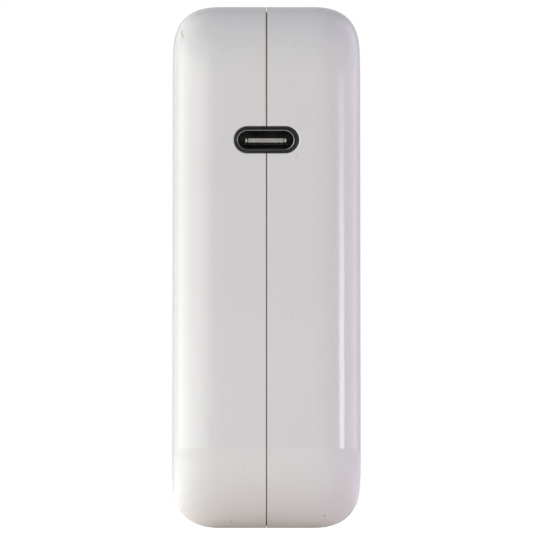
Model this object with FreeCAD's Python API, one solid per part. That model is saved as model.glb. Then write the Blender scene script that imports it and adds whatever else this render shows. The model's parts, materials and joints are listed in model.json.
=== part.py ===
import FreeCAD, Part
import math
import os

from FreeCAD import Vector

# A laptop power adapter: a flat white brick with a USB-C port in one narrow side and, in the
# opposite side, a removable mains plug whose two flat prongs fold away. Millimetres, +Z up.
# The brick stands on a narrow side, and the origin is the middle of that side.
# X is the brick's thickness, and the seam of its two half shells is the plane X = 0.
# The port looks along -Y, and the mains plug is at the bottom of the +Y side.

# ---------------------------------------------------------------- the brick
THICK = 28.6  # along X
SIDE = 80.0  # along Y and along Z
HALF_X = THICK / 2
HALF_Y = SIDE / 2
CORNER_R = 12.0  # the square's corners
EDGE_REACH = 7.1  # how far the soft edge runs over each of its two faces
EDGE_PULL = 0.673  # handle length of the edge's curve, as a share of EDGE_REACH
WALL = 2.1
CAVITY_EDGE_R = 3.5
FIT = 0.05  # clearance between parts that are assembled and stay put

# the seam between the half shells: a fine open groove with a lap joint behind it
SEAM_GAP = 0.11
SEAM_DEPTH = 0.75
LAP_THICK = 0.70
LAP_REACH = 1.0

# ---------------------------------------------------------------- the corner notch for the mains plug
NOTCH_Y = 22.5  # the notch's wall that looks along +Y
NOTCH_Z = 32.0  # the notch's wall that looks down
PLUG_GAP = 0.12  # between the plug and the brick

# ---------------------------------------------------------------- the USB-C port
PORT_Z = 58.5
PORT_W, PORT_H = 9.83, 4.08  # opening in the half shells
PORT_ROUND = 0.25
TRIM_FACE_Y, TRIM_ROUND, TRIM_BEVEL = -HALF_Y + 0.08, 0.15, 0.2
SHELL_W, SHELL_H, SHELL_T = 8.94, 3.3, 0.28
SHELL_LIP_R = 0.13
SHELL_MOUTH_Y = -HALF_Y + 0.45
SOCKET_SHIFT = Vector(-0.11, 0, 0)  # how far the socket sits off the port's middle
SHELL_BACK_Y = -31.4
TONGUE_TIP_Y = -38.7
TONGUE_ROOT_Y = -33.4
TONGUE_W, TONGUE_T = 5.34, 0.60
COLLAR_Y, COLLAR_RIM = -36.2, 0.2  # the thick root round the blade
CONTACTS = 12
CONTACT_PITCH, CONTACT_W, CONTACT_T = 0.45, 0.24, 0.06
RAIL_OUT, RAIL_W, RAIL_T = 3.07, 0.24, 0.50
USB_BOARD_Z = (PORT_Z - 3.0, PORT_Z - 1.8)

# ---------------------------------------------------------------- the mains inlet in the notch
PIN_X, PIN_Z, PIN_R = 4.3, 13.0, 1.19
WELL_R, WELL_WAIST = 4.10, 2.85
WELL_FLOOR_Y = 12.9
INLET_Y = (11.5, NOTCH_Y)
INLET_HALF_X, INLET_HALF_Z = 9.7, 5.2
PIN_Y = (9.6, 21.4)
STUD_Y = 28.0
STUD_NECK_R, STUD_HEAD_R = 2.2, 4.3
STUD_HEAD_Z = (27.9, 29.6)
STUD_SHANK_R, STUD_TOP_Z = 2.0, 37.0
NUT_R, NUT_Z = 4.0, (NOTCH_Z + WALL + FIT, 36.4)

# ---------------------------------------------------------------- the mains plug
PLUG_Y0 = NOTCH_Y + PLUG_GAP
PLUG_Z1 = NOTCH_Z - PLUG_GAP
PLUG_WALL = 2.1
PLUG_CAVITY_Y = 31.5
PLUG_CAVITY_Z = (PLUG_WALL, 30.0)
BASE_THICK = 1.8
NOSE_TIP_Y = 13.4
NOSE_R, NOSE_WAIST = 3.85, 2.60
SLEEVE_R, SLEEVE_BORE_R = 1.75, 1.27
SLEEVE_Y = (14.7, 25.0)
PIVOT_Y, PIVOT_Z = 36.3, 10.0
PRONG_X, PRONG_THICK, PRONG_WIDE = 6.35, 1.5, 6.35
PRONG_REACH = 19.6  # from the pivot to the tip
PRONG_TIP_CHAMFER, PRONG_TIP_BEVEL = 1.0, 0.3
CARRIER_R, CARRIER_HALF_X, CARRIER_KEY = 3.0, 9.2, 3.2
BEARING_GAP = 0.06
SLOT_W, SLOT_FLOOR_Y, SLOT_Z = 2.3, 32.7, (6.4, 31.0)
SCOOP_R, SCOOP_Y, SCOOP_Z, SCOOP_HALF_X = 7.0, 45.0, 25.4, 9.8
CLIP_Z = (29.68, 29.96)

# ---------------------------------------------------------------- the stack inside, along X
BOARD_X = (-8.8, -7.2)
FLOOR_X = BOARD_X[1]  # components stand on this face of the main board
TOP_X = 9.8  # and the tallest reach this far
CHIP_THICK, TRANSISTOR_THICK = 1.0, 1.1  # parts on the board's solder side
FILM_X = (10.6, 10.8)
SPREADER_X = (11.2, 11.7)
FOAM_X = (SPREADER_X[1] + FIT, HALF_X - WALL - FIT)
BOARD_INSET, FILM_INSET, SPREADER_INSET = 3.0, 4.0, 4.6  # from the brick's outline
PIN_HALF = 0.32  # half width of a square pin
WIRE_LEG_R = 0.35  # a component's wire leg

# ---------------------------------------------------------------- the components, by their Y and Z
LINE_CHOKE = {"x": 1.3, "y": -27.0, "z": 13.2, "outer": 7.4, "inner": 4.2, "height": 7.0}
OUTPUT_CHOKE = {"x": -1.4, "y": -5.0, "z": 71.0, "outer": 5.0, "inner": 2.6, "height": 4.6}
TRANSFORMER = {"y": -3.0, "z": 53.0, "half_y": 12.0, "half_z": 9.0}
BOOST = {"y": -27.0, "z": 45.5, "half_y": 9.4, "half_z": 6.6}
FUSE = {"y": -11.0, "z": 21.0, "radius": 4.1, "top_x": 1.2}
VARISTOR = {"y": 0.0, "z": 17.5, "radius": 5.0, "thick": 4.2}
THERMISTOR = {"y": 15.0, "z": 25.6, "radius": 4.4, "thick": 3.6}
SAFETY_CAPACITOR = {"y": 5.5, "z": 71.0, "radius": 3.6, "thick": 3.0}
FILTER = {"y": -11.0, "z": 10.0, "radius": 5.0, "barrel": 2.4, "top_x": 5.0}
X_CAPACITOR = {"y": -27.0, "z": 29.0, "half_y": 9.0, "half_z": 4.5, "top_x": 7.0}
FILM_CAPACITOR = {"y": 30.0, "z": 73.1, "half_y": 4.6, "half_z": 1.4, "top_x": 3.2}
BRIDGE = {"y": -5.0, "z": 29.3, "half_y": 9.5, "half_z": 1.7, "top_x": TOP_X - 1.0}
BULK_Y, BULK_Z, BULK_R = (16.2, 29.6), (39.6, 68.4), 6.3
OUTPUT_CAP_Y, OUTPUT_CAP_Z, OUTPUT_CAP_R, OUTPUT_CAP_TOP_X = (-32.6, -24.2, -15.8), 68.6, 3.9, 4.8
OPTO_Y, OPTO_Z = (12.0, 20.0), 73.0
TRANSISTORS_Y, PRIMARY_Z, RECTIFIER_Z = -16.0, (30.0, 42.0), (66.0,)
CHIPS = [(2, 24, 3.0, 2.0), (8, 48, 2.5, 2.5), (-30, 53, 2.0, 2.0), (10, 60, 3.2, 2.0)]
HEADER_PINS_Y, HEADER_PIN_Z = (-33.0, -30.5, -28.0, -25.5), USB_BOARD_Z[1] + 0.4


# ================================================================ helpers
def box(x, y, z):
    """A box from three (low, high) pairs."""
    size = [high - low for low, high in (x, y, z)]
    return Part.makeBox(*size, Vector(x[0], y[0], z[0]))


def around(centre, half):
    """The (low, high) pair of that half width about a centre."""
    return centre - half, centre + half


def rod(axis, radius, span, a, b):
    """A cylinder along an axis, at a and b on the other two axes in X, Y, Z order."""
    start, end = span
    place = {"x": (start, a, b), "y": (a, start, b), "z": (a, b, start)}[axis]
    direction = {"x": (1, 0, 0), "y": (0, 1, 0), "z": (0, 0, 1)}[axis]
    return Part.makeCylinder(radius, end - start, Vector(*place), Vector(*direction))


def tube(axis, radius, bore, span, a, b):
    return rod(axis, radius, span, a, b).cut(rod(axis, bore, span, a, b))


def union(shapes):
    """One shape of several that touch or overlap, with the seams between them removed."""
    first, *rest = shapes
    return first.fuse(rest).removeSplitter() if rest else first


def stadium_wire(width, height, y):
    """The outline of the port's pill shape in the plane of that Y, about PORT_Z."""
    r = height / 2
    flat = width / 2 - r
    low, high = PORT_Z - r, PORT_Z + r
    return Part.Wire([
        Part.makeLine(Vector(-flat, y, low), Vector(flat, y, low)),
        Part.Arc(Vector(flat, y, low), Vector(flat + r, y, PORT_Z), Vector(flat, y, high)).toShape(),
        Part.makeLine(Vector(flat, y, high), Vector(-flat, y, high)),
        Part.Arc(Vector(-flat, y, high), Vector(-flat - r, y, PORT_Z), Vector(-flat, y, low)).toShape(),
    ])


def stadium(width, height, span):
    face = Part.Face(stadium_wire(width, height, span[0]))
    return face.extrude(Vector(0, span[1] - span[0], 0))


def figure_eight(radius, waist, span):
    """Two round lobes about the mains pins, joined by a narrower waist."""
    lobes = [rod("y", radius, span, side * PIN_X, PIN_Z) for side in (-1, 1)]
    return union(lobes + [box((-PIN_X, PIN_X), span, around(PIN_Z, waist))])


def lead(points, radius):
    """A round wire along straight runs, with a ball at each bend."""
    runs = []
    for start, end in zip(points, points[1:]):
        way = Vector(*end) - Vector(*start)
        runs.append(Part.makeCylinder(radius, way.Length, Vector(*start), way))
    balls = [Part.makeSphere(radius, Vector(*p)) for p in points[1:-1]]
    return union(runs + balls)


# ================================================================ shapes that several parts share
def soft_brick():
    """The whole outer shape: a square with round corners, and one soft edge curve all round."""
    flat = HALF_Y - CORNER_R
    side, start = EDGE_REACH * EDGE_PULL, CORNER_R - EDGE_REACH

    def edge_curve(sign):
        x0, x1 = sign * (HALF_X - EDGE_REACH), sign * HALF_X
        poles = [
            Vector(x0, 0, CORNER_R),
            Vector(x0 + sign * side, 0, CORNER_R),
            Vector(x1, 0, start + side),
            Vector(x1, 0, start),
        ]
        curve = Part.BezierCurve()
        curve.setPoles(poles)
        return curve.toShape()

    top = HALF_X - EDGE_REACH
    profile = Part.Face(Part.Wire([
        Part.makeLine(Vector(-top, 0, CORNER_R), Vector(top, 0, CORNER_R)),
        edge_curve(1),
        Part.makeLine(Vector(HALF_X, 0, start), Vector(HALF_X, 0, 0)),
        Part.makeLine(Vector(HALF_X, 0, 0), Vector(-HALF_X, 0, 0)),
        Part.makeLine(Vector(-HALF_X, 0, 0), Vector(-HALF_X, 0, start)),
        edge_curve(-1),
    ]))
    bar = profile.extrude(Vector(0, 2 * flat, 0))
    corner = profile.revolve(Vector(0, 0, 0), Vector(1, 0, 0), 90)
    bar.translate(Vector(0, -flat, flat))
    corner.translate(Vector(0, -flat, flat))
    pieces = [box(around(0, HALF_X), around(0, flat), around(0, flat))]
    for quarter in range(4):
        for piece in (bar, corner):
            pieces.append(piece.rotated(Vector(0, 0, 0), Vector(1, 0, 0), 90 * quarter))
    whole = union(pieces)
    whole.translate(Vector(0, 0, HALF_Y))
    return whole


def outline(inset):
    """The brick's outline in the seam plane, with the plug's notch taken out, moved in by inset."""
    low, high = -HALF_Y, HALF_Y
    r, bend = CORNER_R, CORNER_R * math.sqrt(0.5)

    def at(y, z):
        return Vector(0, y, z)

    def arc(y, z, start, sweep):
        """A quarter round about (y, z) from a start angle in degrees."""
        spots = [math.radians(start + sweep * share) for share in (0, 0.5, 1)]
        return Part.Arc(*[at(y + r * math.cos(a), z + r * math.sin(a)) for a in spots]).toShape()

    wire = Part.Wire([
        Part.makeLine(at(low + r, 0), at(NOTCH_Y, 0)),
        Part.makeLine(at(NOTCH_Y, 0), at(NOTCH_Y, NOTCH_Z)),
        Part.makeLine(at(NOTCH_Y, NOTCH_Z), at(high, NOTCH_Z)),
        Part.makeLine(at(high, NOTCH_Z), at(high, SIDE - r)),
        arc(high - r, SIDE - r, 0, 90),
        Part.makeLine(at(high - r, SIDE), at(low + r, SIDE)),
        arc(low + r, SIDE - r, 90, 90),
        Part.makeLine(at(low, SIDE - r), at(low, r)),
        arc(low + r, r, 180, 90),
    ])
    face = Part.Face(wire)
    return face if inset == 0 else face.makeOffset2D(-inset)


def sheet(inset, x):
    """The outline as a solid between two places along X."""
    solid = outline(inset).extrude(Vector(x[1] - x[0], 0, 0))
    solid.translate(Vector(x[0], 0, 0))
    return solid


def band(outer, inner, x):
    """A ring that follows the outline between two insets."""
    return sheet(outer, x).cut(sheet(inner, x))


def housing_cavity():
    half = HALF_X - WALL
    cavity = sheet(WALL, (-half, half))
    rim = [e for e in cavity.Edges if all(abs(abs(v.X) - half) < 1e-6 for v in e.Vertexes)]
    return cavity.makeFillet(CAVITY_EDGE_R, rim)


# ================================================================ the two half shells
def housing_shell():
    """Both half shells in one, with every opening, before the seam is cut."""
    notch = box((-SIDE, SIDE), (NOTCH_Y, SIDE), (-SIDE, NOTCH_Z))
    shell = soft_brick().cut(notch).cut(housing_cavity())
    port = stadium(PORT_W, PORT_H, (-HALF_Y - 1, -HALF_Y + 2 * WALL))
    inlet = box(
        around(0, INLET_HALF_X + FIT),
        (NOTCH_Y - 2 * WALL, NOTCH_Y + WALL),
        around(PIN_Z, INLET_HALF_Z + FIT),
    )
    stud = rod("z", STUD_SHANK_R + FIT, (NOTCH_Z - WALL, NOTCH_Z + 2 * WALL), 0, STUD_Y)
    shell = shell.cut([port, inlet, stud])
    mouth = [e for e in shell.Edges
             if e.BoundBox.YMax < -HALF_Y + 1e-3 and e.BoundBox.XMax < PORT_W / 2 + 1e-3
             and e.BoundBox.XMin > -PORT_W / 2 - 1e-3 and abs(e.BoundBox.Center.z - PORT_Z) < PORT_H]
    return shell.makeFillet(PORT_ROUND, mouth)


def half_shells():
    shell = housing_shell()
    groove = band(0, SEAM_DEPTH, around(0, SEAM_GAP / 2))
    lap_in, lap_out = SEAM_DEPTH + LAP_THICK, SEAM_DEPTH
    tongue = band(lap_out, lap_in, (-LAP_REACH, SEAM_GAP / 2)).common(shell)
    slot = band(lap_out, lap_in + FIT, (-LAP_REACH - FIT, 0))
    left = shell.common(box((-SIDE, 0), (-SIDE, SIDE), (-SIDE, 2 * SIDE))).cut([groove, slot])
    right = shell.common(box((0, SIDE), (-SIDE, SIDE), (-SIDE, 2 * SIDE))).cut(groove)
    return left, union([right, tongue])


# ================================================================ the USB-C port
def seated(shape):
    """A part of the socket, built about the port's middle, moved to where the socket sits."""
    return shape.translated(SOCKET_SHIFT)


def front_rim(solid, y):
    """The edges of a solid that lie in the plane of that Y."""
    return [e for e in solid.Edges if abs(e.BoundBox.YMin - y) < 1e-3 and e.BoundBox.YLength < 1e-3]


def port_trim():
    """The black ring round the port, with a flange behind the half shells' wall."""
    back_y = -HALF_Y + WALL + FIT
    face = stadium(PORT_W - 2 * FIT, PORT_H - 2 * FIT, (TRIM_FACE_Y, back_y))
    face = face.makeFillet(TRIM_ROUND, front_rim(face, TRIM_FACE_Y))
    flange = stadium(PORT_W + 1.6, PORT_H + 1.6, (back_y, back_y + 1.2))
    hole = stadium(SHELL_W + FIT, SHELL_H + FIT, (-HALF_Y - 1, back_y + 2))
    bevel = Part.makeLoft([
        stadium_wire(SHELL_W + TRIM_BEVEL, SHELL_H + TRIM_BEVEL, TRIM_FACE_Y),
        stadium_wire(SHELL_W + FIT, SHELL_H + FIT, SHELL_MOUTH_Y),
    ], True)
    return union([face, flange]).cut([seated(hole), seated(bevel)])


SHELL_LEGS_Y = (-35.4, -32.4)


def usb_shell():
    """The drawn steel shell of the socket, with a rolled lip and four solder legs into its board."""
    body = stadium(SHELL_W, SHELL_H, (SHELL_MOUTH_Y, SHELL_BACK_Y))
    inside_w, inside_h = SHELL_W - 2 * SHELL_T, SHELL_H - 2 * SHELL_T
    inside = stadium(inside_w, inside_h, (-HALF_Y, SHELL_BACK_Y + 1))
    lip = body.cut(inside)
    lip = lip.makeFillet(SHELL_LIP_R, front_rim(lip, SHELL_MOUTH_Y))
    legs = []
    for side in (-1, 1):
        x = sorted((side * (SHELL_W / 2 - SHELL_T), side * SHELL_W / 2))
        legs += [box(x, around(y, 0.5), (USB_BOARD_Z[0] - 0.6, PORT_Z - 0.2)) for y in SHELL_LEGS_Y]
    return seated(union([lip] + [leg.cut(inside) for leg in legs]))


def tongue_blade():
    return box(around(0, TONGUE_W / 2), (TONGUE_TIP_Y, TONGUE_ROOT_Y), around(PORT_Z, TONGUE_T / 2))


def contact_springs():
    pads = []
    for place in range(CONTACTS):
        x = (place - (CONTACTS - 1) / 2) * CONTACT_PITCH
        for face in (-1, 1):
            z = sorted((PORT_Z + face * (TONGUE_T / 2 - CONTACT_T), PORT_Z + face * (TONGUE_T / 2 + 0.02)))
            pads.append(box(around(x, CONTACT_W / 2), (TONGUE_TIP_Y + 0.1, TONGUE_ROOT_Y), z))
    return pads


def latch_plate():
    plate = box(around(0, RAIL_OUT - RAIL_W), (-37.6, TONGUE_ROOT_Y), around(PORT_Z, 0.07))
    rails = [
        box(sorted((side * RAIL_OUT, side * (RAIL_OUT - RAIL_W))),
            (TONGUE_TIP_Y + 0.05, TONGUE_ROOT_Y), around(PORT_Z, RAIL_T / 2))
        for side in (-1, 1)
    ]
    return union([plate] + rails)


def usb_tongue():
    """The grey plastic blade in the socket, grooved for its steel rails and contacts."""
    return seated(tongue_blade().cut(contact_springs() + [latch_plate()]))


def usb_contacts():
    """Twelve flat springs on each face of the tongue, as one group."""
    return seated(Part.makeCompound(contact_springs()))


def usb_midplate():
    """The steel plate inside the tongue: a thin web between two rails that a plug latches on."""
    return seated(latch_plate())


def usb_insulator():
    """The black block that closes the back of the socket and holds the tongue in a collar."""
    clear = 2 * SHELL_T + 2 * 0.02
    block = stadium(SHELL_W - clear, SHELL_H - clear, (TONGUE_ROOT_Y, SHELL_BACK_Y))
    collar_z = around(PORT_Z, TONGUE_T / 2 + COLLAR_RIM)
    collar = box(around(0, RAIL_OUT + COLLAR_RIM), (COLLAR_Y, TONGUE_ROOT_Y), collar_z)
    held = contact_springs() + [tongue_blade(), latch_plate()]
    return seated(union([block, collar]).cut(held))


def usb_board():
    board = box((FLOOR_X + FIT, 8.6), (-36.3, -22.5), USB_BOARD_Z)
    slots = [
        box(around(side * (SHELL_W - SHELL_T) / 2, 0.3), around(y, 0.7), around(USB_BOARD_Z[0], 2))
        for side in (-1, 1) for y in SHELL_LEGS_Y
    ]
    return board.cut(slots)


def usb_board_header():
    """The row of square pins that carries the USB board on the main board."""
    pins = header_pins((BOARD_X[0] - 1.2, -4.6), HEADER_PIN_Z, PIN_HALF)
    strip_y = (HEADER_PINS_Y[0] - 1.4, HEADER_PINS_Y[-1] + 1.4)
    strip = box((FLOOR_X + FIT, -4.8), strip_y, (USB_BOARD_Z[1] + 0.02, USB_BOARD_Z[1] + 2.4))
    return union([strip] + pins)


# ================================================================ the mains inlet in the notch
def inlet_body():
    block = box(around(0, INLET_HALF_X), INLET_Y, around(PIN_Z, INLET_HALF_Z))
    flange_y = (NOTCH_Y - WALL - 1.5, NOTCH_Y - WALL - FIT)
    flange = box(around(0, INLET_HALF_X - 1.2), flange_y, around(PIN_Z, INLET_HALF_Z + 1.2))
    well = figure_eight(WELL_R, WELL_WAIST, (WELL_FLOOR_Y, NOTCH_Y))
    holes = [rod("y", PIN_R + 0.02, (INLET_Y[0], WELL_FLOOR_Y), side * PIN_X, PIN_Z) for side in (-1, 1)]
    return union([block, flange]).cut([well] + holes)


def inlet_pins():
    pins = []
    for side in (-1, 1):
        stem = rod("y", PIN_R, (PIN_Y[0], PIN_Y[1] - PIN_R), side * PIN_X, PIN_Z)
        tip = Part.makeSphere(PIN_R, Vector(side * PIN_X, PIN_Y[1] - PIN_R, PIN_Z))
        pins.append(union([stem, tip]))
    return Part.makeCompound(pins)


def ground_stud():
    """The steel button on the notch's upper wall that the plug slides over."""
    head = rod("z", STUD_HEAD_R, STUD_HEAD_Z, 0, STUD_Y)
    rims = [e for e in head.Edges if abs(e.BoundBox.ZLength) < 1e-6]
    head = head.makeFillet(0.3, rims)
    neck = rod("z", STUD_NECK_R, (STUD_HEAD_Z[1], NOTCH_Z), 0, STUD_Y)
    shank = rod("z", STUD_SHANK_R, (NOTCH_Z, STUD_TOP_Z), 0, STUD_Y)
    return union([head, neck, shank])


def stud_nut():
    low, high = NUT_Z
    turns = [math.radians(60 * k) for k in range(7)]
    corners = [Vector(NUT_R * math.cos(a), STUD_Y + NUT_R * math.sin(a), low) for a in turns]
    prism = Part.Face(Part.makePolygon(corners)).extrude(Vector(0, 0, high - low))
    return prism.cut(rod("z", STUD_SHANK_R + 0.02, (NOTCH_Z, STUD_TOP_Z), 0, STUD_Y))


def inlet_leads():
    """Two insulated wires from the inlet's pins to the main board."""
    radius, bend_y, end_x = 0.9, 7.4, FLOOR_X + FIT
    back_y = PIN_Y[0] - FIT
    first = lead([(-PIN_X, back_y, PIN_Z), (-PIN_X, bend_y, PIN_Z), (end_x, bend_y, PIN_Z)], radius)
    second = lead([
        (PIN_X, back_y, PIN_Z), (PIN_X, bend_y, PIN_Z), (PIN_X, bend_y, PIN_Z - 4.5),
        (end_x, bend_y, PIN_Z - 4.5),
    ], radius)
    return Part.makeCompound([first, second])


# ================================================================ the mains plug
def lower_edges_along_y(block):
    low = block.BoundBox.ZMin
    return [e for e in block.Edges
            if e.BoundBox.ZMax < low + 1e-3 and e.BoundBox.XLength < 1e-3 and e.BoundBox.YLength > 1]


def plug_cover():
    """The plug's outer shell: the missing corner of the brick, with slots for the prongs."""
    body = soft_brick().common(box((-SIDE, SIDE), (PLUG_Y0, SIDE), (-SIDE, PLUG_Z1)))
    half = HALF_X - PLUG_WALL
    cavity = box(around(0, half), (PLUG_Y0 - 1, PLUG_CAVITY_Y), PLUG_CAVITY_Z)
    cavity = cavity.makeFillet(CAVITY_EDGE_R, lower_edges_along_y(cavity))
    bearing_x, bearing_r = around(0, CARRIER_HALF_X + 0.2), CARRIER_R + BEARING_GAP
    bearing = rod("x", bearing_r, bearing_x, PIVOT_Y, PIVOT_Z)
    saddle = box(bearing_x, (PLUG_CAVITY_Y - 1, PIVOT_Y), around(PIVOT_Z, bearing_r))
    slots = [box(around(side * PRONG_X, SLOT_W / 2), (SLOT_FLOOR_Y, SIDE), SLOT_Z) for side in (-1, 1)]
    scoop = rod("x", SCOOP_R, around(0, SCOOP_HALF_X), SCOOP_Y, SCOOP_Z)
    stud_y = STUD_Y + 0.2
    stud_slot = union([
        box(around(0, STUD_NECK_R + 0.25), (PLUG_Y0 - 1, stud_y), (PLUG_CAVITY_Z[1] - 1, NOTCH_Z)),
        rod("z", STUD_NECK_R + 0.25, (PLUG_CAVITY_Z[1] - 1, NOTCH_Z), 0, stud_y),
    ])
    head_room = rod("z", STUD_HEAD_R + 0.4, (STUD_HEAD_Z[0] - 0.4, PLUG_CAVITY_Z[1]), 0, stud_y)
    return body.cut([cavity, bearing, saddle, scoop, stud_slot, head_room] + slots)


def base_fingers():
    """Three posts that hold the prongs' carrier in its bearing from behind."""
    tip_y = PIVOT_Y - 0.9 * CARRIER_R
    spans = [(-9.1, -7.9), (-3.0, 3.0), (7.9, 9.1)]
    return [box(x, (PLUG_Y0 + BASE_THICK, tip_y), around(PIVOT_Z, 2.8)) for x in spans]


def plug_base():
    """The inner cover of the plug, with the two-lobed nose that goes into the brick's inlet."""
    half = HALF_X - PLUG_WALL - FIT
    low, high = PLUG_CAVITY_Z[0] + FIT, PLUG_CAVITY_Z[1] - FIT
    plate = box(around(0, half), (PLUG_Y0, PLUG_Y0 + BASE_THICK), (low, high))
    plate = plate.makeFillet(CAVITY_EDGE_R, lower_edges_along_y(plate))
    nose = figure_eight(NOSE_R, NOSE_WAIST, (NOSE_TIP_Y, PLUG_Y0))
    tips = [e for e in nose.Edges if abs(e.BoundBox.YMax - NOSE_TIP_Y) < 1e-3]
    nose = nose.makeChamfer(0.4, tips)
    boss = figure_eight(SLEEVE_R + 0.9, 1.6, (PLUG_Y0 + BASE_THICK, SLEEVE_Y[1] - 0.4))
    solid = union([plate, nose, boss] + base_fingers())
    cuts = [rod("x", CARRIER_R + BEARING_GAP, around(0, CARRIER_HALF_X), PIVOT_Y, PIVOT_Z)]
    for side in (-1, 1):
        x = side * PIN_X
        cuts.append(rod("y", PIN_R + 0.15, (NOSE_TIP_Y - 1, SLEEVE_Y[0]), x, PIN_Z))
        cuts.append(rod("y", SLEEVE_R + 0.02, (SLEEVE_Y[0] - 0.02, PLUG_CAVITY_Y), x, PIN_Z))
    head_path = box(around(0, STUD_HEAD_R + 0.4), (PLUG_Y0 - 1, STUD_Y), (STUD_HEAD_Z[0] - 0.4, NOTCH_Z))
    return solid.cut(cuts + [head_path])


def plug_sleeves():
    """Sockets inside the nose that grip the inlet's pins."""
    sleeves = []
    for side in (-1, 1):
        tube_part = rod("y", SLEEVE_R, SLEEVE_Y, side * PIN_X, PIN_Z)
        bore = rod("y", SLEEVE_BORE_R, (SLEEVE_Y[0] - 1, PIN_Y[1] + 0.4), side * PIN_X, PIN_Z)
        slit = box(around(side * PIN_X, 0.15), (SLEEVE_Y[0] - 1, PIN_Y[1] - 2), around(PIN_Z, 3))
        sleeves.append(tube_part.cut([bore, slit]))
    return Part.makeCompound(sleeves)


def plug_contacts():
    """Leaf springs from the sleeves to the roots of the prongs."""
    leaf, back_y, tip_y = 0.4, SLEEVE_Y[1] + 0.02, PIVOT_Y - PRONG_WIDE / 2 - 0.35
    leaves = []
    for side in (-1, 1):
        foot = box(sorted((side * 3.4, side * 7.1)), (back_y, back_y + leaf), (11.4, 14.6))
        arm = box(sorted((side * 5.6, side * 7.1)), (back_y, tip_y), (11.4, 11.4 + leaf))
        tip = box(sorted((side * 5.6, side * 7.1)), (tip_y - leaf, tip_y), (8.2, 11.4 + leaf))
        leaves.append(union([foot, arm, tip]))
    return Part.makeCompound(leaves)


def stud_clip():
    """The spring-steel fork under the plug's upper wall that rides on the stud's neck."""
    gap = STUD_NECK_R + 0.12
    plate = box(around(0, 8.5), (PLUG_Y0 + BASE_THICK + 0.1, PLUG_CAVITY_Y - 0.1), CLIP_Z)
    mouth = union([
        box(around(0, gap), (PLUG_Y0, STUD_Y + 0.2), around(CLIP_Z[0], 1)),
        rod("z", gap, around(CLIP_Z[0], 1), 0, STUD_Y + 0.2),
    ])
    reliefs = [box(around(side * 5.4, 0.5), (PLUG_Y0, 29.0), around(CLIP_Z[0], 1)) for side in (-1, 1)]
    return plate.cut([mouth] + reliefs)


def prong(side):
    """A flat mains blade, folded up along +Z, with a square eye for the carrier's key."""
    x = around(side * PRONG_X, PRONG_THICK / 2)
    half = PRONG_WIDE / 2
    tip_z = PIVOT_Z + PRONG_REACH
    blade = box(x, around(PIVOT_Y, half), (PIVOT_Z, tip_z))
    tip_corners = [e for e in blade.Edges if e.BoundBox.ZMin > tip_z - 1e-3 and e.BoundBox.XLength > 1]
    blade = blade.makeChamfer(PRONG_TIP_CHAMFER, tip_corners)
    tip_outline = [e for e in blade.Edges if e.BoundBox.ZMin > PIVOT_Z + 1
                   and e.BoundBox.XLength < 1e-3 and e.BoundBox.YLength > 0.5]
    blade = blade.makeChamfer(PRONG_TIP_BEVEL, tip_outline)
    root = rod("x", half, x, PIVOT_Y, PIVOT_Z)
    return union([blade, root]).cut(carrier_key())


def carrier_key():
    """The square bar of the carrier that passes through both prongs."""
    half = CARRIER_KEY / 2
    return box(around(0, CARRIER_HALF_X), around(PIVOT_Y, half), around(PIVOT_Z, half))


def prong_carrier():
    """The round moulding that both prongs turn on: journals between and outside the blades."""
    reach = PRONG_THICK / 2
    spans = [
        (-CARRIER_HALF_X, -PRONG_X - reach), (-PRONG_X + reach, PRONG_X - reach),
        (PRONG_X + reach, CARRIER_HALF_X),
    ]
    journals = [rod("x", CARRIER_R, span, PIVOT_Y, PIVOT_Z) for span in spans]
    return union(journals + [carrier_key()])


# ================================================================ boards, plates and pads
def header_pins(x, z, half):
    """Square pins that join the USB board to the main board, across X."""
    return [box(x, around(y, half), around(z, half)) for y in HEADER_PINS_Y]


def main_board():
    """The main board: the outline's shape, with room for the inlet's block."""
    board = sheet(BOARD_INSET, BOARD_X)
    sharp = [(HALF_Y - BOARD_INSET, NOTCH_Z + BOARD_INSET), (NOTCH_Y - BOARD_INSET, BOARD_INSET)]
    corners = [Vector(sum(BOARD_X) / 2, y, z) for y, z in sharp]
    edges = [e for e in board.Edges if any(e.CenterOfMass.distanceToPoint(c) < 0.01 for c in corners)]
    board = board.makeFillet(CAVITY_EDGE_R, edges)
    inlet_room = box(around(FLOOR_X, 3), (INLET_Y[0] - 0.5, NOTCH_Y), around(PIN_Z, INLET_HALF_Z + 1.6))
    return board.cut(header_pins(around(FLOOR_X, 3), HEADER_PIN_Z, PIN_HALF + 0.02) + [inlet_room])


def control_board():
    """A small card that stands on the main board beside the transformer."""
    return box((FLOOR_X + FIT, 6.5), (-15, 8), (38.6, 39.6))


def plate_pair(x, inset):
    """The same plate on both sides of the stack."""
    return sheet(inset, x), sheet(inset, (-x[1], -x[0]))


def foam_pads():
    """Pads that press the heat spreaders away from the half shells."""
    sides = (FOAM_X, (-FOAM_X[1], -FOAM_X[0]))
    return Part.makeCompound([
        box(x, around(y, 6), around(z, 4)) for x in sides for y in (-22, 12) for z in (46, 66)
    ])


def thermal_pads():
    """Soft pads between the hot parts and the two films under the heat spreaders."""
    above = (TOP_X + FIT, FILM_X[0] - FIT)
    below = (-FILM_X[0] + FIT, BOARD_X[0] - TRANSISTOR_THICK - FIT)
    pads = [box(above, around(core["y"], 7), around(core["z"], 6)) for core in (TRANSFORMER, BOOST)]
    pads += [box(below, around(TRANSISTORS_Y, 4), around(z, 4)) for z in PRIMARY_Z + RECTIFIER_Z]
    return Part.makeCompound(pads)


def transistors(places_z):
    """Flat power transistors on the solder side of the main board."""
    x = (BOARD_X[0] - TRANSISTOR_THICK, BOARD_X[0] - 0.02)
    return Part.makeCompound([box(x, around(TRANSISTORS_Y, 4), around(z, 3)) for z in places_z])


def controller_chips():
    x = (BOARD_X[0] - CHIP_THICK, BOARD_X[0] - 0.02)
    return Part.makeCompound([box(x, around(y, half_y), around(z, half_z)) for y, z, half_y, half_z in CHIPS])


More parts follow.
